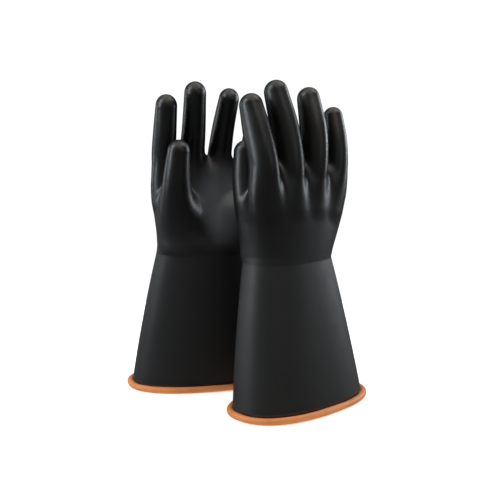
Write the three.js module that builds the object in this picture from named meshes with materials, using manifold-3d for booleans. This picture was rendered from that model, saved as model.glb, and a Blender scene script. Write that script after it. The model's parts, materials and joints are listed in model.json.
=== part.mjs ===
// A pair of electrical insulating gloves: two-layer dipped rubber, gauntlet style, rolled cuff bead.
//
// Each glove is an outer rubber layer over a rubber lining, with a bead round the cuff. A rubber skin
// bends anywhere, so it is divided where a hand bends it: at the wrist, at the middle of each finger and
// at the thumb. Each cut is wedge-shaped, and the wedge closes as its joint reaches its limit.
//
// Glove coordinates, in millimetres: x runs across the hand from the thumb side to the little finger,
// y runs from the back of the hand towards the palm, z runs up from the cuff to the fingertips.

import * as THREE from 'three';
import { mergeVertices } from 'three/addons/utils/BufferGeometryUtils.js';
import Module from 'manifold-3d';

const wasm = await Module();
wasm.setup();

// ---- Driving dimensions ----

const OUTER_WALL = 1.3;
const LINING_WALL = 1.0;
const LAYER_GAP = 0.4;
const BEAD_RADIUS = 3.7;
const BEAD_OFFSET = 2.7;          // bead centre outside the cuff's outer surface
const BEAD_CLEARANCE = 0.35;      // between the bead and the outer layer above it
const LINING_FOOT = 0.6;          // height of the lining's edge above the ground
const CUT_GAP = 0.5;              // gap left between two segments on a joint's axis
const WEDGE_MARGIN = 3;           // degrees a wedge opens wider than its joint turns

const BODY_SIDES = 24;
const FINGER_SIDES = 10;
const SHAFT_RINGS = 3;
const TIP_RINGS = 2;
const BEAD_SIDES = 8;
const BEAD_STEPS = BODY_SIDES;

// The gauntlet and hand, as cross-sections upwards: centre, half-width, half-depth, squareness. The first
// is below the ground, so that the layers are cut off level at their feet.
const BODY_SECTIONS = [
  { centre: [0.0, -1.4, -14], half: [90.6, 49.2], power: 2.4 },
  { centre: [0.0, 0.0, 0], half: [88.4, 48.2], power: 2.4 },
  { centre: [-0.3, 6.0, 55], half: [80.2, 44.4], power: 2.4 },
  { centre: [-0.6, 12.5, 110], half: [69.8, 39.6], power: 2.4 },
  { centre: [-0.8, 18.6, 164], half: [58.2, 34.6], power: 2.3 },
  { centre: [3.8, 14.8, 198], half: [65.2, 31.0], power: 2.3 },
  { centre: [8.2, 9.6, 232], half: [71.4, 25.2], power: 2.4 },
  { centre: [6.8, 5.6, 256], half: [68.5, 20.0], power: 2.5 },
];
const CUFF_SECTION = 1;
const WRIST_SECTION = 4;
const WEB_SLOPE = 0.35;           // the webs between the fingers rise towards the palm
const WEB_START = 198;

// Each digit: its centreline from root to tip, its half-width and half-depth along it, and its joint.
const DIGITS = {
  index_finger: {
    line: [[-42.0, 17.0, 226], [-48.4, 10.3, 270], [-48.0, 20.4, 307], [-47.6, 27.5, 333]],
    half: [[14.0, 15.0], [13.8, 16.0], [13.2, 15.6], [12.2, 14.0]],
    height: 307, lean: 0, swing: 60,
  },
  middle_finger: {
    line: [[-14.0, 13.0, 226], [-13.5, 5.6, 270], [-12.7, 13.4, 308], [-13.2, 23.2, 348.5]],
    half: [[14.0, 15.0], [14.2, 16.5], [13.4, 16.0], [12.2, 14.0]],
    height: 308, lean: 0, swing: 60,
  },
  ring_finger: {
    line: [[14.0, 12.0, 226], [18.6, 1.0, 268], [23.2, 5.0, 306], [28.6, 15.0, 342.5]],
    half: [[14.0, 14.5], [13.6, 15.6], [12.6, 14.8], [11.4, 13.0]],
    height: 306, lean: 8, swing: 60,
  },
  little_finger: {
    line: [[42.0, 13.0, 220], [52.2, 0.4, 262], [57.6, 2.4, 295], [63.4, 8.0, 322]],
    half: [[13.0, 13.5], [12.6, 14.0], [11.2, 12.8], [10.2, 11.4]],
    height: 295, lean: 13, swing: 60,
  },
  thumb: {
    line: [[-27.0, 26.0, 170], [-36.0, 40.5, 212], [-39.4, 47.8, 250], [-36.8, 50.4, 283]],
    half: [[21.0, 18.0], [20.0, 17.5], [15.6, 15.6], [13.0, 13.4]],
    height: 250, lean: 0, swing: 35,
  },
};

const WRIST_TO_PALM = 8;          // degrees
const WRIST_TO_BACK = 30;

// Where each glove stands: the centre of its cuff and its turn about the vertical.
const GLOVES = {
  left: { cuff: [-56.3, 90.0], turn: 0.2395 },
  right: { cuff: [55.7, 0.0], turn: 0.770 },
};

const BLACK_RUBBER = { color: 0x1b1a19, roughness: 0.38, metalness: 0 };
const ORANGE_RUBBER = { color: 0xd9803f, roughness: 0.6, metalness: 0 };

// ---- Solids ----

function toSolid(geometry) {
  const bare = geometry.clone();
  bare.deleteAttribute('normal');
  bare.deleteAttribute('uv');
  const merged = mergeVertices(bare, 1e-4);
  return new wasm.Manifold(new wasm.Mesh({
    numProp: 3,
    vertProperties: merged.attributes.position.array,
    triVerts: Uint32Array.from(merged.index.array),
  }));
}

function toGeometry(solid) {
  const { vertProperties, triVerts } = solid.getMesh();
  const geometry = new THREE.BufferGeometry();
  geometry.setAttribute('position', new THREE.BufferAttribute(vertProperties, 3));
  geometry.setIndex(new THREE.BufferAttribute(triVerts, 1));
  return geometry;
}

const union = (solids) => solids.reduce((all, solid) => all.add(solid));

// Moves every vertex of a cylinder: place(t, angle, rim) has t from 0 at the foot to 1 at the top, and
// rim 1 on the wall and 0 at the middle of an end.
function warpedCylinder(sides, rings, place) {
  const geometry = new THREE.CylinderGeometry(1, 1, 1, sides, rings).rotateX(Math.PI / 2);
  const position = geometry.attributes.position;
  for (let i = 0; i < position.count; i++) {
    const [x, y] = [position.getX(i), position.getY(i)];
    const spot = place(position.getZ(i) + 0.5, Math.atan2(y, x), Math.round(Math.hypot(x, y)));
    position.setXYZ(i, spot.x, spot.y, spot.z);
  }
  return geometry;
}

const power = (value, exponent) => Math.sign(value) * Math.abs(value) ** exponent;

const BODY_SPANS = BODY_SECTIONS.length - 1;
const bodyCentres = new THREE.CatmullRomCurve3(
  BODY_SECTIONS.map(({ centre }) => new THREE.Vector3(...centre)));
const bodySizes = new THREE.CatmullRomCurve3(
  BODY_SECTIONS.map((section) => new THREE.Vector3(...section.half, section.power)));

// A point of the gauntlet's or hand's surface, inset by so many millimetres, at t from cuff to knuckles.
function bodyPoint(t, angle, rim, inset) {
  const centre = bodyCentres.getPoint(t);
  const size = bodySizes.getPoint(t);
  const x = centre.x + rim * (size.x - inset) * power(Math.cos(angle), 2 / size.z);
  const y = centre.y + rim * (size.y - inset) * power(Math.sin(angle), 2 / size.z);
  const nearTop = THREE.MathUtils.smoothstep(centre.z, WEB_START, BODY_SECTIONS.at(-1).centre[2]);
  const z = centre.z + nearTop * (WEB_SLOPE * (y - centre.y) - inset);
  return new THREE.Vector3(x, y, z);
}

function bodySolid(inset) {
  return toSolid(warpedCylinder(BODY_SIDES, BODY_SPANS, (t, angle, rim) => bodyPoint(t, angle, rim, inset)));
}

// A digit: an oval tube along its centreline with a round end.
function digitSolid({ line, half }, inset) {
  const path = new THREE.CatmullRomCurve3(line.map((point) => new THREE.Vector3(...point)));
  const sizes = new THREE.CatmullRomCurve3(half.map(([x, y]) => new THREE.Vector3(x, y, 0)));
  const rings = SHAFT_RINGS + TIP_RINGS;
  const lastTurn = Math.PI * 0.42;
  return toSolid(warpedCylinder(FINGER_SIDES, rings, (t, angle, rim) => {
    const ring = Math.round(t * rings);
    const along = Math.min(ring / SHAFT_RINGS, 1);
    const turn = Math.max(ring - SHAFT_RINGS, 0) / TIP_RINGS * lastTurn;
    const tangent = path.getTangent(along);
    const across = new THREE.Vector3(1, 0, 0).addScaledVector(tangent, -tangent.x).normalize();
    const forward = new THREE.Vector3().crossVectors(tangent, across);
    const size = sizes.getPoint(along);
    const shrink = rim * Math.cos(turn);
    return path.getPoint(along)
      .addScaledVector(across, shrink * (size.x - inset) * Math.cos(angle))
      .addScaledVector(forward, shrink * (size.y - inset) * Math.sin(angle))
      .addScaledVector(tangent, (size.x - inset) * Math.sin(turn));
  }));
}

function gloveSolid(inset) {
  return union([bodySolid(inset), ...Object.values(DIGITS).map((digit) => digitSolid(digit, inset))]);
}

// The rolled bead: a torus stretched to follow the cuff, standing on a flat side.
function beadGeometry() {
  const ringRadius = 100;
  const flatRadius = BEAD_RADIUS / Math.cos(Math.PI / BEAD_SIDES);
  const geometry = new THREE.TorusGeometry(ringRadius, flatRadius, BEAD_SIDES, BEAD_STEPS);
  const position = geometry.attributes.position;
  const tilt = Math.PI / BEAD_SIDES;
  for (let i = 0; i < position.count; i++) {
    const angle = Math.atan2(position.getY(i), position.getX(i));
    const out = Math.hypot(position.getX(i), position.getY(i)) - ringRadius;
    const up = position.getZ(i);
    const spot = bodyPoint(CUFF_SECTION / BODY_SPANS, angle, 1, 0);
    const ahead = bodyPoint(CUFF_SECTION / BODY_SPANS, angle + 0.01, 1, 0);
    const normal = new THREE.Vector3(ahead.y - spot.y, spot.x - ahead.x, 0).normalize();
    const outTilted = out * Math.cos(tilt) - up * Math.sin(tilt);
    const upTilted = out * Math.sin(tilt) + up * Math.cos(tilt);
    spot.addScaledVector(normal, BEAD_OFFSET + outTilted);
    position.setXYZ(i, spot.x, spot.y, BEAD_RADIUS + upTilted);
  }
  return geometry;
}

// ---- Joints ----

// A hinge has its pivot, its axis, and how far it opens on each side of its cut.
const hinges = {
  wrist: {
    pivot: new THREE.Vector3(...BODY_SECTIONS[WRIST_SECTION].centre),
    axis: new THREE.Vector3(-1, 0, 0),
    range: [-WRIST_TO_BACK, WRIST_TO_PALM],
    reach: [110, 110],
  },
};
for (const [name, digit] of Object.entries(DIGITS)) {
  const path = new THREE.CatmullRomCurve3(digit.line.map((point) => new THREE.Vector3(...point)));
  const share = digit.line.findIndex((point) => point[2] === digit.height) / (digit.line.length - 1);
  const lean = THREE.MathUtils.degToRad(digit.lean);
  hinges[name] = {
    pivot: path.getPoint(share),
    axis: name === 'thumb' ? new THREE.Vector3(0, 1, 0).negate()
      : new THREE.Vector3(-Math.cos(lean), 0, Math.sin(lean)),
    range: [0, digit.swing],
    reach: name === 'thumb' ? [16.6, 40] : [16.5, 16.5],
  };
}

// The block that holds everything on the far side of a hinge. side is 1 for the block's own segment, and
// -1 for the slightly larger block that is cut away from the segment below.
function farBlock({ pivot, axis, range, reach }, side) {
  const width = 110;
  const height = 240;
  const slope = (degrees) => (degrees === 0 ? 0
    : Math.tan(THREE.MathUtils.degToRad((Math.abs(degrees) + WEDGE_MARGIN) / 2)));
  const outline = new THREE.Shape([
    new THREE.Vector2(0, side * CUT_GAP / 2),
    new THREE.Vector2(width, side * (CUT_GAP / 2 + width * slope(range[1]))),
    new THREE.Vector2(width, height),
    new THREE.Vector2(-width, height),
    new THREE.Vector2(-width, side * (CUT_GAP / 2 + width * slope(range[0]))),
  ]);
  const block = new THREE.ExtrudeGeometry(outline, { depth: reach[0] + reach[1], bevelEnabled: false });
  const up = new THREE.Vector3(0, 0, 1).addScaledVector(axis, -axis.z).normalize();
  const toward = new THREE.Vector3().crossVectors(axis, up);
  const depth = new THREE.Vector3().crossVectors(toward, up);
  block.translate(0, 0, -reach[0]);
  block.applyMatrix4(new THREE.Matrix4().makeBasis(toward, up, depth).setPosition(pivot));
  return toSolid(block);
}

// ---- The glove's segments ----

function above(height) {
  const slab = new THREE.BoxGeometry(400, 400, 800).translate(0, 0, height + 400);
  return toSolid(slab);
}

// A layer of rubber between two insets, from its foot up, as one solid for each segment.
function layerSegments(inset, wall, foot) {
  const shell = gloveSolid(inset).subtract(gloveSolid(inset + wall)).intersect(above(foot));
  const segments = { gauntlet: shell.subtract(farBlock(hinges.wrist, -1)) };
  segments.hand = shell.intersect(farBlock(hinges.wrist, 1));
  for (const [name, digit] of Object.entries(DIGITS)) {
    const tube = digitSolid(digit, inset).subtract(digitSolid(digit, inset + wall));
    segments[name] = tube.intersect(farBlock(hinges[name], 1));
    segments.hand = segments.hand.subtract(farBlock(hinges[name], -1));
  }
  return segments;
}

function mirrored(geometry) {
  const other = geometry.clone().scale(1, -1, 1);
  const index = other.index.array;
  for (let i = 0; i < index.length; i += 3) [index[i], index[i + 1]] = [index[i + 1], index[i]];
  return other;
}

const outerLayer = layerSegments(0, OUTER_WALL, 2 * BEAD_RADIUS + BEAD_CLEARANCE);
const lining = layerSegments(OUTER_WALL + LAYER_GAP, LINING_WALL, LINING_FOOT);

const pair = new THREE.Group();
for (const [side, { cuff, turn }] of Object.entries(GLOVES)) {
  const glove = new THREE.Group();
  glove.name = `${side}_glove`;
  glove.position.set(...cuff, 0);
  glove.rotation.z = turn;
  const handed = side === 'left' ? mirrored : (geometry) => geometry.clone();
  const add = (name, geometry, finish) => {
    const mesh = new THREE.Mesh(handed(geometry), new THREE.MeshStandardMaterial(finish));
    mesh.name = `${side}_${name}`;
    glove.add(mesh);
  };
  add('cuff_bead', toGeometry(toSolid(beadGeometry())), ORANGE_RUBBER);
  for (const segment of Object.keys(outerLayer)) {
    add(`${segment}_outer_layer`, toGeometry(outerLayer[segment]), BLACK_RUBBER);
    add(`${segment}_lining`, toGeometry(lining[segment]), ORANGE_RUBBER);
  }
  glove.userData.hinges = hinges;
  pair.add(glove);
}

// The origin is on the ground, at the middle of the pair's bounding box.
const box = new THREE.Box3().setFromObject(pair, true);
const middle = box.getCenter(new THREE.Vector3());
pair.position.set(-middle.x, -middle.y, -box.min.z);

export default pair;
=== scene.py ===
# A pair of electrical insulating gloves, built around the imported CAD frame: a smooth black rubber skin, an
# orange lining inside it and a rolled orange bead at each cuff, on a pale floor in soft studio light.
#
# One glove's skin is a single smooth surface in glove coordinates: x across the hand from the thumb side to
# the little finger, v from the back of the hand to the palm, z from the cuff to the fingertips. It is cut
# into pieces between the joints, and each glove's own wrist joint says where its copy stands.

import json
import math

import bmesh
import bpy
import numpy as np
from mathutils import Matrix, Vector


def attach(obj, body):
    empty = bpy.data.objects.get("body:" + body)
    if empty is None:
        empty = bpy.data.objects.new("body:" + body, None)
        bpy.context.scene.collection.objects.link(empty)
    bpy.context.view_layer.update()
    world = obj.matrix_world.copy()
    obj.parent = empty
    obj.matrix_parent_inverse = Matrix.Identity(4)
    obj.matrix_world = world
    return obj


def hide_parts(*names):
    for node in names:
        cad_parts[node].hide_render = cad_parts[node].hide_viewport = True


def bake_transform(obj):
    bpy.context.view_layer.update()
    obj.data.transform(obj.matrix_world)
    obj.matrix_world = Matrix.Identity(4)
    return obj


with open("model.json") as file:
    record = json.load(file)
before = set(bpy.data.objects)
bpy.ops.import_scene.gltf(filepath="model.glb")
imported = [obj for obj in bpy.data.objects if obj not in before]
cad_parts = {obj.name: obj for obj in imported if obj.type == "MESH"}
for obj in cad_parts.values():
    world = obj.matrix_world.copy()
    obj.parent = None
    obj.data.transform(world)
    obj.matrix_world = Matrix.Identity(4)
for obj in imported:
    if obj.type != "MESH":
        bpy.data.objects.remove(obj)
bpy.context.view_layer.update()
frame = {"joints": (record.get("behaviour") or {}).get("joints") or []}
joints = {joint["name"]: joint for joint in frame["joints"]}

# ---- Driving dimensions, in millimetres, in glove coordinates ----

MM = 0.001
CELL = 2.4                        # size of the outer layer's faces
LINING_CELL = 3.0
OUTER_WALL = 1.3
LINING_INSET = 1.9
LINING_WALL = 1.0
BEAD_RADIUS = 3.7
BEAD_OFFSET = 2.6                 # bead centre outside the cuff
BEAD_SINK = 0.2                   # how much of the bead is pressed flat on the ground
BEAD_WAVES = [(3, 0.12, 0.7), (8, 0.08, 2.1), (17, 0.05, 0.0)]    # waves round the cuff: count, size, phase
PAINTED_SHADOW_LINE = {"radius": 0.95, "offset": -0.8, "height": 7.2, "tall": 2.3}    # a thin dark brown ring, a painted shadow line between the black coat and the bead
PAINTED_SHADOW_LINE_UNEVENNESS = 0.3        # a share of the bead's waves
RING_STEPS = 200                  # cross-sections round the cuff
RING_SIDES = 28                   # points round each one
SKIN_FOOT = 9.2                   # height of the black layer's edge
LINING_FOOT = 0.6
GRID_LOW = (-100.0, -62.0)        # x and v of the corner where the skin's grid starts
GRID_HIGH = (100.0, 86.0, 366.0)

WRIST = (-0.8, 18.6, 164.0)       # the wrist's centre, where the wrist joint is
CUFF_HALF = (88.4, 48.2)
WRIST_HALF = (58.2, 34.6)
GAUNTLET_SWELL = (7.0, 3.6)       # how far the gauntlet's sides bow out between cuff and wrist
GAUNTLET_POWER = 2.4              # squareness of the oval: 2 is an ellipse
HAND_POWER = 2.35
WRIST_TOP = 170.0                 # the gauntlet ends inside the hand
WRIST_TOP_ROUND = 3.0
WRIST_BLEND = 2.2                 # a crisp crease where they meet

# The hand's cross-sections: height, centre x and v, half-width, half-depth. It overhangs the wrist a little.
HAND_SECTIONS = [
    (158.0, -0.6, 18.4, 57.6, 34.2),
    (172.0, 1.2, 18.4, 59.4, 35.0),
    (186.0, 3.6, 15.8, 62.2, 32.4),
    (204.0, 5.8, 12.4, 66.2, 28.6),
    (232.0, 6.2, 8.6, 68.4, 22.6),
    (262.0, 4.8, 4.6, 63.8, 15.8),
]
HAND_REACH = (140.0, 283.0)       # the sections are carried on straight as far as these heights
HAND_FOOT = 164.3
HAND_FOOT_ROUND = 3.0
HAND_TOP = 263.0                  # the webs between the fingers, at the middle of the hand's depth
WEB_MIDDLE = 5.0                  # v of that middle
WEB_SLOPE = 0.8                   # the webs rise towards the palm
WEB_ROUND = 22.0
KNUCKLE_LEAN = -0.090             # the knuckles' row sits further back towards the little finger
KNUCKLE_LEAN_FROM = 200.0
PADS = [((40.0, 27.0, 197.0), (27.0, 20.0, 32.0))]        # heel of the hand, below the little finger
PAD_BLEND = 12.0

# Each digit: centreline points from root to tip centre, and half-width and half-depth at each.
DIGITS = {
    "index_finger": {
        "line": [(-43.0, 8.6, 226), (-48.0, 8.4, 268), (-48.0, 20.2, 307), (-47.4, 29.4, 334.0)],
        "half": [(14.2, 15.6), (14.2, 17.8), (13.4, 17.2), (12.4, 13.8)],
    },
    "middle_finger": {
        "line": [(-14.0, 4.6, 226), (-14.2, 3.8, 268), (-12.9, 12.6, 308), (-13.2, 25.6, 348.5)],
        "half": [(15.0, 15.8), (15.0, 18.4), (13.8, 18.0), (12.6, 14.2)],
    },
    "ring_finger": {
        "line": [(16.0, 3.4, 226), (19.6, -0.4, 268), (23.8, 3.8, 306), (28.6, 15.8, 341.8)],
        "half": [(14.6, 15.4), (14.4, 17.8), (13.0, 17.2), (11.8, 13.8)],
    },
    "little_finger": {
        "line": [(46.0, 3.0, 220), (56.0, -1.0, 262), (60.4, 2.6, 295), (64.6, 10.4, 321.4)],
        "half": [(13.4, 14.2), (13.4, 15.2), (11.9, 14.2), (10.8, 11.8)],
    },
    "thumb": {
        "line": [(-28.0, 33.0, 182), (-33.6, 37.0, 206), (-38.2, 41.0, 232), (-38.8, 45.6, 254),
                 (-36.8, 49.0, 283)],
        "half": [(22.6, 17.4), (22.6, 18.0), (18.4, 17.6), (15.6, 16.0), (13.0, 13.6)],
    },
}
# How widely the digits blend with the hand: at their roots, and where they stand clear of it.
FINGER_BLENDS = (14.0, 3.0)
WEB_FADE = 30.0                   # height above the webs where the fingers stand clear
THUMB_BLENDS = (18.0, 4.0)
THUMB_WEB = (222.0, 252.0)        # heights of the thumb's root and of where it stands clear
DIGIT_SAMPLES = 25                # first guesses at the nearest point of a digit's curve
DIGIT_MARGIN = 26.0               # a digit is left out of the field further off than this
FAR_OFF = 1000.0

PAINTED_SHEEN_CENTRE = np.array([17.0, 32.0, 215.0])      # the middle of the palm, where a pale bluish sheen is painted
PAINTED_SHEEN_REACH = np.array([42.0, 28.0, 70.0])

# Heights of the cuts between pieces.
SEAMS = {"gauntlet": 128.0, "index_finger": 284.0, "middle_finger": 285.0, "ring_finger": 283.0,
         "little_finger": 277.0, "thumb": 239.5}


# ---- The skin as a distance field: negative inside, zero on the surface ----

def smooth_min(a, b, width):
    near = np.maximum(width - np.abs(a - b), 0.0) / width
    return np.minimum(a, b) - near * near * width / 4


def oval_distance(x, v, centre_x, centre_v, half_x, half_v, power):
    """Distance to a squarish oval in its own plane, to first order."""
    across = np.abs(x - centre_x) / half_x + 1e-6
    deep = np.abs(v - centre_v) / half_v + 1e-6
    rho = (across ** power + deep ** power) ** (1 / power)
    slope_x = (across / rho) ** (power - 1) / half_x
    slope_v = (deep / rho) ** (power - 1) / half_v
    return (rho - 1) / np.hypot(slope_x, slope_v)


def smooth_curve(knots, values):
    """A function for the smooth curve through values at knots, carried on straight past both ends."""
    knots, values = np.array(knots, float), np.array(values, float)
    slopes = np.gradient(values, knots, axis=0)

    def at(where):
        inside = np.clip(where, knots[0], knots[-1])
        i = np.clip(np.searchsorted(knots, inside, side="right") - 1, 0, len(knots) - 2)
        width = (knots[i + 1] - knots[i])[:, None]
        s = (inside - knots[i])[:, None] / width
        ends = (1 + 2 * s) * (1 - s) ** 2 * values[i] + s * s * (3 - 2 * s) * values[i + 1]
        bends = s * (1 - s) ** 2 * slopes[i] - s * s * (1 - s) * slopes[i + 1]
        past = np.where((where < knots[0])[:, None], slopes[0], slopes[-1]) * (where - inside)[:, None]
        return ends + bends * width + past

    return at


def oval_solid_distance(offsets, radii):
    """Distance to an ellipsoid from offsets along its axes, to first order."""
    rho = np.linalg.norm(offsets / radii, axis=1)
    slope = np.linalg.norm(offsets / np.square(radii), axis=1) / np.maximum(rho, 1e-6)
    return (rho - 1) / np.maximum(slope, 1 / np.max(radii, axis=-1))


def gauntlet_distance(points):
    x, v, z = points.T
    up = z / WRIST[2]
    swell = up * (1 - up)
    half = [CUFF_HALF[i] + (WRIST_HALF[i] - CUFF_HALF[i]) * up + GAUNTLET_SWELL[i] * swell for i in (0, 1)]
    side = oval_distance(x, v, WRIST[0] * up, WRIST[1] * up, half[0], half[1], GAUNTLET_POWER)
    return -smooth_min(-side, WRIST_TOP - z, WRIST_TOP_ROUND)


hand_profile = smooth_curve([row[0] for row in HAND_SECTIONS], [row[1:] for row in HAND_SECTIONS])


def smooth_step(way):
    way = np.clip(way, 0, 1)
    return way * way * (3 - 2 * way)


def knuckle_depth(points):
    """Each point's v, measured from the leaning row of knuckles near the top of the hand."""
    x, v, z = points.T
    return v - KNUCKLE_LEAN * x * smooth_step((z - KNUCKLE_LEAN_FROM) / (HAND_TOP - KNUCKLE_LEAN_FROM))


def above_webs(points):
    """Height above the sloping plane of the webs."""
    rise = WEB_SLOPE * (knuckle_depth(points) - WEB_MIDDLE)
    return (points[:, 2] - HAND_TOP - rise) / math.hypot(1, WEB_SLOPE)


def hand_side(points):
    section = hand_profile(np.clip(points[:, 2], *HAND_REACH))
    return oval_distance(points[:, 0], knuckle_depth(points), *section.T, HAND_POWER)


def hand_distance(points):
    trunk = -smooth_min(-hand_side(points), -above_webs(points), WEB_ROUND)
    for centre, radii in PADS:
        trunk = smooth_min(trunk, oval_solid_distance(points - centre, np.array(radii)), PAD_BLEND)
    return trunk


for digit in DIGITS.values():
    line = np.array(digit["line"], float)
    steps = np.r_[0, np.cumsum(np.linalg.norm(np.diff(line, axis=0), axis=1))]
    digit["curve"] = smooth_curve(steps / steps[-1], line)
    digit["size"] = smooth_curve(steps / steps[-1], digit["half"])


def digit_distance(points, digit):
    """Distance to an oval tube with a round end along the digit's curve."""
    samples = np.linspace(0, 1, DIGIT_SAMPLES)
    spots = digit["curve"](samples)
    t = samples[((points[:, None, :] - spots[None]) ** 2).sum(2).argmin(1)]
    for _ in range(4):
        tangent = (digit["curve"](t + 0.01) - digit["curve"](t - 0.01)) / 0.02
        gap = points - digit["curve"](t)
        t = np.clip(t + (gap * tangent).sum(1) / (tangent ** 2).sum(1), 0, 1)
    gap = points - digit["curve"](t)
    tangent /= np.linalg.norm(tangent, axis=1)[:, None]
    across = np.array([1.0, 0, 0]) - tangent[:, :1] * tangent
    across /= np.linalg.norm(across, axis=1)[:, None]
    forward = np.cross(tangent, across)
    half = digit["size"](t)
    offsets = np.stack([(gap * across).sum(1), (gap * forward).sum(1), (gap * tangent).sum(1)], 1)
    return oval_solid_distance(offsets, np.column_stack([half, half.mean(1)]))


def near_digit(points, digit):
    line = np.array(digit["line"], float)
    reach = np.max(digit["half"]) + DIGIT_MARGIN
    return np.all((points > line.min(0) - reach) & (points < line.max(0) + reach), axis=1)


def skin_distance(points):
    field = hand_distance(points)
    fade = smooth_step(above_webs(points) / WEB_FADE)
    finger_blend = FINGER_BLENDS[0] + (FINGER_BLENDS[1] - FINGER_BLENDS[0]) * fade
    fade = smooth_step((points[:, 2] - THUMB_WEB[0]) / (THUMB_WEB[1] - THUMB_WEB[0]))
    thumb_blend = THUMB_BLENDS[0] + (THUMB_BLENDS[1] - THUMB_BLENDS[0]) * fade
    for name, digit in DIGITS.items():
        near = near_digit(points, digit)
        blend = thumb_blend if name == "thumb" else finger_blend
        field[near] = smooth_min(field[near], digit_distance(points[near], digit), blend[near])
    field = -smooth_min(-field, points[:, 2] - HAND_FOOT, HAND_FOOT_ROUND)
    return smooth_min(gauntlet_distance(points), field, WRIST_BLEND)


def skin_gradient(points, step=0.25):
    parts = []
    for axis in np.eye(3):
        parts.append(skin_distance(points + axis * step) - skin_distance(points - axis * step))
    return np.stack(parts, 1) / (2 * step)


# ---- The surface as a mesh of even four-sided faces ----

def surface_net(origin, counts, cell):
    """Faces where the field changes sign on a grid: one vertex in each cell that the surface crosses."""
    axes = [origin[i] + cell * np.arange(counts[i]) for i in range(3)]
    grid = np.stack(np.meshgrid(*axes, indexing="ij"), -1).reshape(-1, 3)
    field = skin_distance(grid).reshape(counts)
    inside = field < 0
    corners = [(i, j, k) for i in (0, 1) for j in (0, 1) for k in (0, 1)]
    cells = tuple(n - 1 for n in counts)

    def corner(values, offset):
        return values[tuple(slice(o, o + n) for o, n in zip(offset, cells))]

    filled = sum(corner(inside, offset).astype(int) for offset in corners)
    crossed = (filled > 0) & (filled < 8)
    index = np.full(cells, -1)
    index[crossed] = np.arange(crossed.sum())
    spot_cell = np.argwhere(crossed).astype(float)
    total, weight = np.zeros_like(spot_cell), np.zeros(len(spot_cell))
    for a in corners:
        for axis in range(3):
            if a[axis]:
                continue
            b = tuple(1 if i == axis else a[i] for i in range(3))
            fa, fb = corner(field, a)[crossed], corner(field, b)[crossed]
            cut = (fa < 0) != (fb < 0)
            share = np.where(cut, fa / np.where(cut, fa - fb, 1), 0)
            spot = np.array(a, float) + share[:, None] * np.eye(3)[axis]
            total[cut] += spot[cut]
            weight[cut] += 1
    points = np.array(origin) + cell * (spot_cell + total / weight[:, None])
    faces = []
    for axis in range(3):
        one, two = (axis + 1) % 3, (axis + 2) % 3
        low = [slice(1, -1)] * 3
        low[axis] = slice(0, -1)
        high = list(low)
        high[axis] = slice(1, None)
        start, end = inside[tuple(low)], inside[tuple(high)]
        for flips, chosen in ((False, start & ~end), (True, ~start & end)):
            at = np.argwhere(chosen)
            at[:, one] += 1
            at[:, two] += 1
            quad = []
            for da, db in ((1, 1), (0, 1), (0, 0), (1, 0)):
                cell = at.copy()
                cell[:, one] -= da
                cell[:, two] -= db
                quad.append(index[tuple(cell.T)])
            quad = np.stack(quad, 1)
            faces.append(quad[:, ::-1] if flips else quad)
    return points, np.concatenate(faces)


def onto_surface(points, rounds=2):
    for _ in range(rounds):
        slope = skin_gradient(points)
        points = points - slope * (skin_distance(points) / (slope ** 2).sum(1))[:, None]
    return points


def even_out(points, faces, foot, rounds=4):
    """Moves each vertex above foot towards the middle of its neighbours, and back onto the surface."""
    fixed = points[:, 2] < foot
    start_points = points.copy()
    for _ in range(rounds):
        total, count = np.zeros_like(points), np.zeros(len(points))
        for a, b in ((0, 1), (1, 2), (2, 3), (3, 0)):
            for start, end in ((a, b), (b, a)):
                np.add.at(total, faces[:, start], points[faces[:, end]])
                np.add.at(count, faces[:, start], 1)
        points = onto_surface(total / count[:, None], 1)
        points[fixed] = start_points[fixed]
    return onto_surface(points, 2)


# ---- Cutting the skin into pieces ----

def nearest_part(points):
    """Which surface each point is on: 0 the hand's body, then the digits in order."""
    gaps = [np.abs(hand_distance(points))]
    for digit in DIGITS.values():
        gap = np.full(len(points), FAR_OFF)
        near = near_digit(points, digit)
        gap[near] = np.abs(digit_distance(points[near], digit))
        gaps.append(gap)
    return np.argmin(gaps, axis=0)


def centres(mesh):
    return np.array([face.calc_center_median() for face in mesh.faces])


def cut(mesh, faces, height):
    edges = {edge for face in faces for edge in face.edges}
    verts = {vert for face in faces for vert in face.verts}
    bmesh.ops.bisect_plane(mesh, geom=list(verts) + list(edges) + list(faces), dist=1e-4,
                           plane_co=(0, 0, height), plane_no=(0, 0, 1))
    mesh.faces.index_update()


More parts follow.
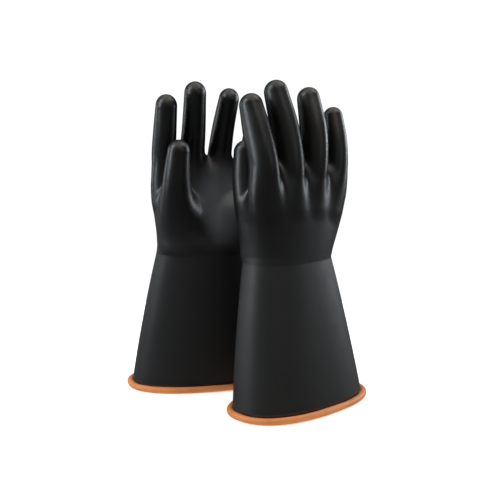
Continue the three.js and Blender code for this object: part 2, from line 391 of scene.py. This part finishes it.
def skin_pieces(cell, foot):
    """The skin's points and normals, and the faces of each piece, with clean edges at the seams."""
    low = np.array([*GRID_LOW, foot - 2 * cell])
    counts = tuple(int(n) for n in np.ceil((np.array(GRID_HIGH) - low) / cell))
    points, faces = surface_net(low, counts, cell)
    points = even_out(points, faces, foot - cell)
    mesh = bmesh.new()
    verts = [mesh.verts.new(point) for point in points]
    for face in faces:
        mesh.faces.new([verts[i] for i in face])
    mesh.faces.ensure_lookup_table()
    for height in (foot, SEAMS["gauntlet"]):
        middles = centres(mesh)
        cut(mesh, [mesh.faces[i] for i in np.flatnonzero(abs(middles[:, 2] - height) < 2 * cell)], height)
        mesh.faces.ensure_lookup_table()
    for number, name in enumerate(DIGITS, 1):
        middles = centres(mesh)
        band = np.flatnonzero(abs(middles[:, 2] - SEAMS[name]) < 2 * cell)
        band = band[nearest_part(middles[band]) == number]
        cut(mesh, [mesh.faces[i] for i in band], SEAMS[name])
        mesh.faces.ensure_lookup_table()
    mesh.verts.index_update()
    points = np.array([vert.co for vert in mesh.verts])
    middles = centres(mesh)
    part = nearest_part(middles)
    groups = {name: [] for name in ("gauntlet", "hand", *DIGITS)}
    digit_names = list(DIGITS)
    for face, middle, nearest in zip(mesh.faces, middles, part):
        if middle[2] < foot:
            continue
        name = "gauntlet" if middle[2] < SEAMS["gauntlet"] else "hand"
        if nearest and middle[2] > SEAMS[digit_names[nearest - 1]]:
            name = digit_names[nearest - 1]
        groups[name].append([vert.index for vert in face.verts])
    mesh.free()
    slope = skin_gradient(points)
    return points, slope / np.linalg.norm(slope, axis=1)[:, None], groups


def shell(points, normals, faces, depths):
    """A closed wall between two depths under the skin: its points, faces and a normal for each corner."""
    used, inverse = np.unique(np.concatenate(faces), return_inverse=True)
    splits = np.cumsum([len(face) for face in faces])[:-1]
    faces = np.split(inverse, splits)
    spots, outward = points[used], normals[used]
    count = len(used)
    walls = [spots - outward * depth for depth in depths]
    edges = {(a, b) for face in faces for a, b in zip(face, np.roll(face, -1))}
    rim = [(a, b) for a, b in sorted(edges) if (b, a) not in edges]
    corners = np.concatenate([outward[face] for face in faces])
    backs = [face[::-1] for face in faces]
    inside = np.concatenate([-outward[face] for face in backs])
    sides, side_normals = [], []
    for a, b in rim:
        sides.append(np.array([b, a, a + count, b + count]))
        along, down = walls[0][a] - walls[0][b], walls[1][a] - walls[0][a]
        facing = np.cross(along, down)
        side_normals += [facing / np.linalg.norm(facing)] * 4
    everything = faces + [face + count for face in backs] + sides
    loops = np.concatenate([corners, inside] + ([np.array(side_normals)] if sides else []))
    return np.concatenate(walls), everything, loops


# ---- Where each glove stands ----

def glove_frame(side):
    """Matrix and origin from glove millimetres to the frame's metres, from the glove's wrist joint."""
    joint = joints[f"{side}_wrist_bend"]
    axis = np.array(joint["axis"], float)
    up = np.array([0.0, 0.0, 1.0])
    palm = np.cross(axis, up)
    across = axis if side == "left" else -axis
    turn = np.stack([across, palm, up], 1) * MM
    return turn, np.array(joint["pos_m"], float) - turn @ np.array(WRIST)


def place(points, side):
    turn, origin = glove_frame(side)
    return points @ turn.T + origin


def add_piece(name, side, points, faces, corner_normals, material):
    turn, _ = glove_frame(side)
    mirrored = np.linalg.det(turn) < 0
    mesh = bpy.data.meshes.new(name)
    normals = corner_normals @ (turn / MM).T
    if mirrored:
        ends = np.cumsum([len(face) for face in faces])
        order = np.concatenate([np.arange(end - len(face), end)[::-1] for end, face in zip(ends, faces)])
        faces, normals = [face[::-1] for face in faces], normals[order]
    mesh.from_pydata(place(points, side), [], [face.tolist() for face in faces])
    mesh.polygons.foreach_set("use_smooth", np.ones(len(faces), bool))
    mesh.normals_split_custom_set(normals)
    mesh.materials.append(material)
    # A painted sheen on the palm: how strongly it shows at each point, kept as a mesh attribute.
    away = (points - PAINTED_SHEEN_CENTRE) / PAINTED_SHEEN_REACH
    painted_sheen = smooth_step(1 - (away ** 2).sum(1))
    mesh.attributes.new("painted_sheen", "FLOAT", "POINT").data.foreach_set("value", painted_sheen)
    piece = bpy.data.objects.new(name, mesh)
    bpy.context.scene.collection.objects.link(piece)
    return piece


def add_ring(name, side, loop, material):
    """A closed ring of cross-sections, loop[i, j] being point j of section i."""
    sections, sides = loop.shape[:2]
    number = np.arange(sections * sides).reshape(sections, sides)
    ahead, beside = np.roll(number, -1, 0), np.roll(number, -1, 1)
    faces = np.stack([number, ahead, np.roll(ahead, -1, 1), beside], -1).reshape(-1, 4)
    points = loop.reshape(-1, 3)
    along = np.roll(loop, -1, 0) - np.roll(loop, 1, 0)
    around = np.roll(loop, -1, 1) - np.roll(loop, 1, 1)
    normals = np.cross(along, around).reshape(-1, 3)
    normals /= np.linalg.norm(normals, axis=1)[:, None]
    return add_piece(name, side, points, list(faces), normals[faces.ravel()], material)


def cuff_ring(radius, offset, height, unevenness, tall=1.0):
    """A roll along the cuff, tall times as high as wide, flat on the ground and very slightly uneven."""
    turn = np.linspace(0, 2 * np.pi, RING_STEPS, endpoint=False)
    up = height / WRIST[2]
    half = [CUFF_HALF[i] + (WRIST_HALF[i] - CUFF_HALF[i]) * up + GAUNTLET_SWELL[i] * up for i in (0, 1)]
    power = 2 / GAUNTLET_POWER
    ring = np.stack([half[0] * np.sign(np.cos(turn)) * np.abs(np.cos(turn)) ** power,
                     half[1] * np.sign(np.sin(turn)) * np.abs(np.sin(turn)) ** power], 1)
    dense = np.concatenate([[0], np.cumsum(np.linalg.norm(np.roll(ring, -1, 0) - ring, axis=1))])
    even = np.linspace(0, dense[-1], RING_STEPS, endpoint=False)
    closed = np.concatenate([ring, ring[:1]])
    ring = np.stack([np.interp(even, dense, closed[:, i]) for i in (0, 1)], 1)
    tangent = np.roll(ring, -1, 0) - np.roll(ring, 1, 0)
    tangent /= np.linalg.norm(tangent, axis=1)[:, None]
    out = np.stack([tangent[:, 1], -tangent[:, 0]], 1)
    wave = sum(size * np.sin(count * turn + phase) for count, size, phase in BEAD_WAVES)
    angle = np.linspace(0, 2 * np.pi, RING_SIDES, endpoint=False)
    wound = 0.6 + 0.4 * np.cos(2 * angle + 3 * turn[:, None])     # the waves wind round the roll
    reach = radius + unevenness * wave[:, None] * wound
    flat = ring[:, None, :] + out[:, None, :] * (offset + reach * np.cos(angle))[..., None]
    centre = np.array(WRIST[:2]) * up
    rise = np.maximum(height + tall * reach * np.sin(angle), 0.0)
    return np.concatenate([flat + centre, rise[..., None]], -1)


# ---- Materials ----

# The drift in colour and in gloss: its noise's scale and detail, and the noise values at its two ends.
TINT_NOISE, TINT_STOPS = (26.0, 4.0), (0.35, 0.68)
GLOSS_NOISE, GLOSS_STOPS = (60.0, 5.0), (0.3, 0.7)


def rubber(name, colours, roughness, peel, ripple):
    """Moulded rubber: colour and gloss that drift a little, fine orange peel and a soft unevenness.

    Peel and ripple each give a noise's scale and detail, and the depth of its bumps in metres."""
    material = bpy.data.materials.new(name)
    material.use_nodes = True
    nodes, links = material.node_tree.nodes, material.node_tree.links
    shader = nodes["Principled BSDF"]
    place_node = nodes.new("ShaderNodeTexCoord")

    def noise(scale, detail):
        node = nodes.new("ShaderNodeTexNoise")
        node.inputs["Scale"].default_value = scale
        node.inputs["Detail"].default_value = detail
        links.new(place_node.outputs["Object"], node.inputs["Vector"])
        return node.outputs["Fac"]

    tint = nodes.new("ShaderNodeValToRGB")
    for stop, colour, position in zip(tint.color_ramp.elements, colours, TINT_STOPS):
        stop.color, stop.position = (*colour, 1), position
    links.new(noise(*TINT_NOISE), tint.inputs["Fac"])
    links.new(tint.outputs["Color"], shader.inputs["Base Color"])
    gloss = nodes.new("ShaderNodeMapRange")
    gloss.inputs["From Min"].default_value, gloss.inputs["From Max"].default_value = GLOSS_STOPS
    gloss.inputs["To Min"].default_value, gloss.inputs["To Max"].default_value = roughness
    links.new(noise(*GLOSS_NOISE), gloss.inputs["Value"])
    links.new(gloss.outputs["Result"], shader.inputs["Roughness"])
    height = None
    for scale, detail, distance in (peel, ripple):
        bump = nodes.new("ShaderNodeBump")
        bump.inputs["Strength"].default_value = 1.0
        bump.inputs["Distance"].default_value = distance
        links.new(noise(scale, detail), bump.inputs["Height"])
        if height is not None:
            links.new(height, bump.inputs["Normal"])
        height = bump.outputs["Normal"]
    links.new(height, shader.inputs["Normal"])
    return material


def add_colour(material, colour, amount):
    """Adds amount times the colour to the material's own."""
    nodes, links = material.node_tree.nodes, material.node_tree.links
    shader = nodes["Principled BSDF"]
    colour_from = shader.inputs["Base Color"].links[0].from_socket
    mix = nodes.new("ShaderNodeMix")
    mix.data_type, mix.blend_type = "RGBA", "ADD"
    mix.inputs["B"].default_value = (*colour, 1)
    links.new(amount, mix.inputs["Factor"])
    links.new(colour_from, mix.inputs["A"])
    links.new(mix.outputs["Result"], shader.inputs["Base Color"])


def add_painted_sheen(material, colour):
    """A painted sheen on the palms, as strong as the mesh's attribute for it says."""
    amount = material.node_tree.nodes.new("ShaderNodeAttribute")
    amount.attribute_name = "painted_sheen"
    add_colour(material, colour, amount.outputs["Fac"])


def add_low_matt_finish(material, heights, colour, matt):
    """A matt, paler finish low down that turns glossy and deeper towards the fingers, between two heights."""
    nodes, links = material.node_tree.nodes, material.node_tree.links
    shader = nodes["Principled BSDF"]
    where, split = nodes.new("ShaderNodeTexCoord"), nodes.new("ShaderNodeSeparateXYZ")
    links.new(where.outputs["Object"], split.inputs["Vector"])
    fade = nodes.new("ShaderNodeMapRange")
    fade.interpolation_type = "SMOOTHSTEP"
    fade.inputs["From Min"].default_value, fade.inputs["From Max"].default_value = heights
    fade.inputs["To Min"].default_value, fade.inputs["To Max"].default_value = 1.0, 0.0
    links.new(split.outputs["Z"], fade.inputs["Value"])
    add_colour(material, colour, fade.outputs["Result"])
    gloss_from = shader.inputs["Roughness"].links[0].from_socket
    rougher = nodes.new("ShaderNodeMath")
    rougher.operation = "MULTIPLY_ADD"
    rougher.inputs[1].default_value = matt
    links.new(fade.outputs["Result"], rougher.inputs[0])
    links.new(gloss_from, rougher.inputs[2])
    links.new(rougher.outputs["Value"], shader.inputs["Roughness"])


black = rubber("black_rubber",
               colours=[(0.0028, 0.0028, 0.0029), (0.0044, 0.0043, 0.0042)],
               roughness=(0.33, 0.40), peel=(850.0, 2.0, 0.00002), ripple=(90.0, 2.0, 0.00008))
# A bluish painted sheen on the middle of the palms.
add_painted_sheen(black, (0.062, 0.073, 0.083))
add_low_matt_finish(black, heights=(0.15, 0.23), colour=(0.0042, 0.0046, 0.0050), matt=0.17)
orange = rubber("orange_rubber",
                colours=[(0.54, 0.180, 0.046), (0.66, 0.235, 0.064)],
                roughness=(0.45, 0.6), peel=(700.0, 3.0, 0.00003), ripple=(120.0, 2.0, 0.0001))
# Dark brown rubber that paints the shadow line between the black coat and the bead.
brown = rubber("painted_shadow_line_rubber",
               colours=[(0.020, 0.005, 0.002), (0.045, 0.012, 0.004)],
               roughness=(0.85, 0.95), peel=(700.0, 3.0, 0.00003), ripple=(120.0, 2.0, 0.0001))
lining = rubber("lining_rubber",
                colours=[(0.52, 0.17, 0.05), (0.62, 0.22, 0.065)],
                roughness=(0.5, 0.65), peel=(600.0, 3.0, 0.00003), ripple=(90.0, 2.0, 0.0001))


# ---- The gloves ----

OUTER_DEPTHS = (0.0, OUTER_WALL)
LINING_DEPTHS = (LINING_INSET, LINING_INSET + LINING_WALL)
LAYERS = [
    ("outer_layer", skin_pieces(CELL, SKIN_FOOT), OUTER_DEPTHS, black, "black_outer_rubber"),
    ("lining", skin_pieces(LINING_CELL, LINING_FOOT), LINING_DEPTHS, lining, "orange_lining_rubber"),
]
for side in ("left", "right"):
    for layer, (points, normals, groups), depths, material, slot in LAYERS:
        for part, faces in groups.items():
            node = f"{side}_{part}_{layer}"
            piece = add_piece(f"{node}_skin", side, *shell(points, normals, faces, depths), material)
            if part == "gauntlet":
                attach(piece, f"{side}_gauntlet")
            else:
                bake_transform(piece)
            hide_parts(node)
    roll = cuff_ring(BEAD_RADIUS, BEAD_OFFSET, BEAD_RADIUS - BEAD_SINK, 1)
    bead = add_ring(f"{side}_cuff_bead_roll", side, roll, orange)
    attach(bead, f"{side}_gauntlet")
    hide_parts(f"{side}_cuff_bead")
    # A thin dark brown ring under the black coat's edge: a painted shadow line above the bead.
    strip = cuff_ring(**PAINTED_SHADOW_LINE, unevenness=PAINTED_SHADOW_LINE_UNEVENNESS)
    edge = add_ring(f"{side}_painted_shadow_line", side, strip, brown)
    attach(edge, f"{side}_gauntlet")


# ---- Floor, light and camera, in metres ----

FLOOR_RADIUS = 0.55
FLOOR_SIDES = 96
FLOOR_DROP = 0.0004               # just below the beads, which stand at zero
FLOOR_GREY = 0.85
FLOOR_ROUGHNESS = 0.9
FLOOR_GLOW = 0.45
LAMP_DISTANCE = 1.5
LAMP_TARGET = (0, 0, 0.2)
COOL, WHITE, WARM = (0.88, 0.95, 1.0), (1.0, 1.0, 1.0), (1.0, 0.93, 0.82)
# Name, azimuth and elevation in degrees, width and height, watts, colour.
SOFTBOXES = [
    ("left_high_softbox", 190, 40, (0.6, 0.6), 8.0, COOL),
    ("left_strip", 190, 12, (0.3, 0.7), 7.0, COOL),
    ("back_left_strip", 150, 8, (0.25, 0.6), 2.0, COOL),
    ("right_strip", 22, 9, (0.12, 0.7), 4.4, COOL),
    ("back_right_strip", 38, 20, (0.3, 0.8), 6.0, COOL),
    ("right_high_softbox", 18, 60, (0.8, 0.8), 3.3, WHITE),
    ("front_high_softbox", 285, 48, (0.7, 0.7), 1.2, WHITE),
    ("front_right_softbox", 312, 22, (0.6, 0.6), 0.8, COOL),
]
CEILING_STRENGTH = 1.9
CEILING_SPREAD = 80               # degrees
STUDIO_GLOW = 0.12                # the white world, as the gloves see it
BACKDROP_GLOW = 1.05              # the white world, as the camera sees it
CAMERA_LENS, CAMERA_SENSOR = 65.6, 36.0           # millimetres
CAMERA_PLACE = (0.0063, -1.0346, 0.327)
CAMERA_TILT = 8.0                 # degrees below level
CAMERA_NEAR = 0.02


def add_disc(name, radius):
    turns = np.linspace(0, 2 * np.pi, FLOOR_SIDES, endpoint=False)
    mesh = bpy.data.meshes.new(name)
    rim = [(radius * math.cos(t), radius * math.sin(t), 0) for t in turns]
    mesh.from_pydata(rim, [], [tuple(range(FLOOR_SIDES))])
    disc = bpy.data.objects.new(name, mesh)
    bpy.context.scene.collection.objects.link(disc)
    return disc


floor = add_disc("floor", FLOOR_RADIUS)
floor.location.z = -FLOOR_DROP
paint = bpy.data.materials.new("floor_white")
paint.use_nodes = True
shader = paint.node_tree.nodes["Principled BSDF"]
shader.inputs["Base Color"].default_value = (FLOOR_GREY, FLOOR_GREY, FLOOR_GREY, 1)
shader.inputs["Roughness"].default_value = FLOOR_ROUGHNESS
shader.inputs["Emission Color"].default_value = (1, 1, 1, 1)
shader.inputs["Emission Strength"].default_value = FLOOR_GLOW
floor.data.materials.append(paint)
floor.visible_glossy = False      # the rubber mirrors the even studio light, not a bright floor


def add_softbox(name, azimuth, elevation, size, watts, colour):
    """A rectangular lamp LAMP_DISTANCE from the gloves, turned towards them."""
    turn, rise = math.radians(azimuth), math.radians(elevation)
    away = Vector((math.cos(turn) * math.cos(rise), math.sin(turn) * math.cos(rise), math.sin(rise)))
    lamp = bpy.data.lights.new(name, "AREA")
    lamp.shape, lamp.size, lamp.size_y = "RECTANGLE", *size
    lamp.energy, lamp.color = watts, colour
    light = bpy.data.objects.new(name, lamp)
    light.location = Vector(LAMP_TARGET) + away * LAMP_DISTANCE
    light.rotation_euler = (-away).to_track_quat("-Z", "Y").to_euler()
    light.visible_camera = False
    bpy.context.scene.collection.objects.link(light)


for softbox in SOFTBOXES:
    add_softbox(*softbox)
ceiling = bpy.data.lights.new("ceiling", "SUN")
ceiling.energy, ceiling.angle, ceiling.color = CEILING_STRENGTH, math.radians(CEILING_SPREAD), WARM
overhead = bpy.data.objects.new("ceiling", ceiling)
bpy.context.scene.collection.objects.link(overhead)

world = bpy.data.worlds.new("studio")
bpy.context.scene.world = world
world.use_nodes = True
nodes, links = world.node_tree.nodes, world.node_tree.links
nodes.clear()
glow, backdrop = nodes.new("ShaderNodeBackground"), nodes.new("ShaderNodeBackground")
for background, strength in ((glow, STUDIO_GLOW), (backdrop, BACKDROP_GLOW)):
    background.inputs["Color"].default_value = (1, 1, 1, 1)
    background.inputs["Strength"].default_value = strength
either, path = nodes.new("ShaderNodeMixShader"), nodes.new("ShaderNodeLightPath")
output = nodes.new("ShaderNodeOutputWorld")
links.new(path.outputs["Is Camera Ray"], either.inputs["Fac"])
links.new(glow.outputs["Background"], either.inputs[1])
links.new(backdrop.outputs["Background"], either.inputs[2])
links.new(either.outputs["Shader"], output.inputs["Surface"])
bpy.context.scene.view_settings.view_transform = "Standard"

camera = bpy.data.objects.new("camera", bpy.data.cameras.new("camera"))
camera.data.lens, camera.data.sensor_width = CAMERA_LENS, CAMERA_SENSOR
camera.location = CAMERA_PLACE
camera.rotation_euler = (math.radians(90.0 - CAMERA_TILT), 0.0, 0.0)
camera.data.clip_start = CAMERA_NEAR
bpy.context.scene.collection.objects.link(camera)
bpy.context.scene.camera = camera
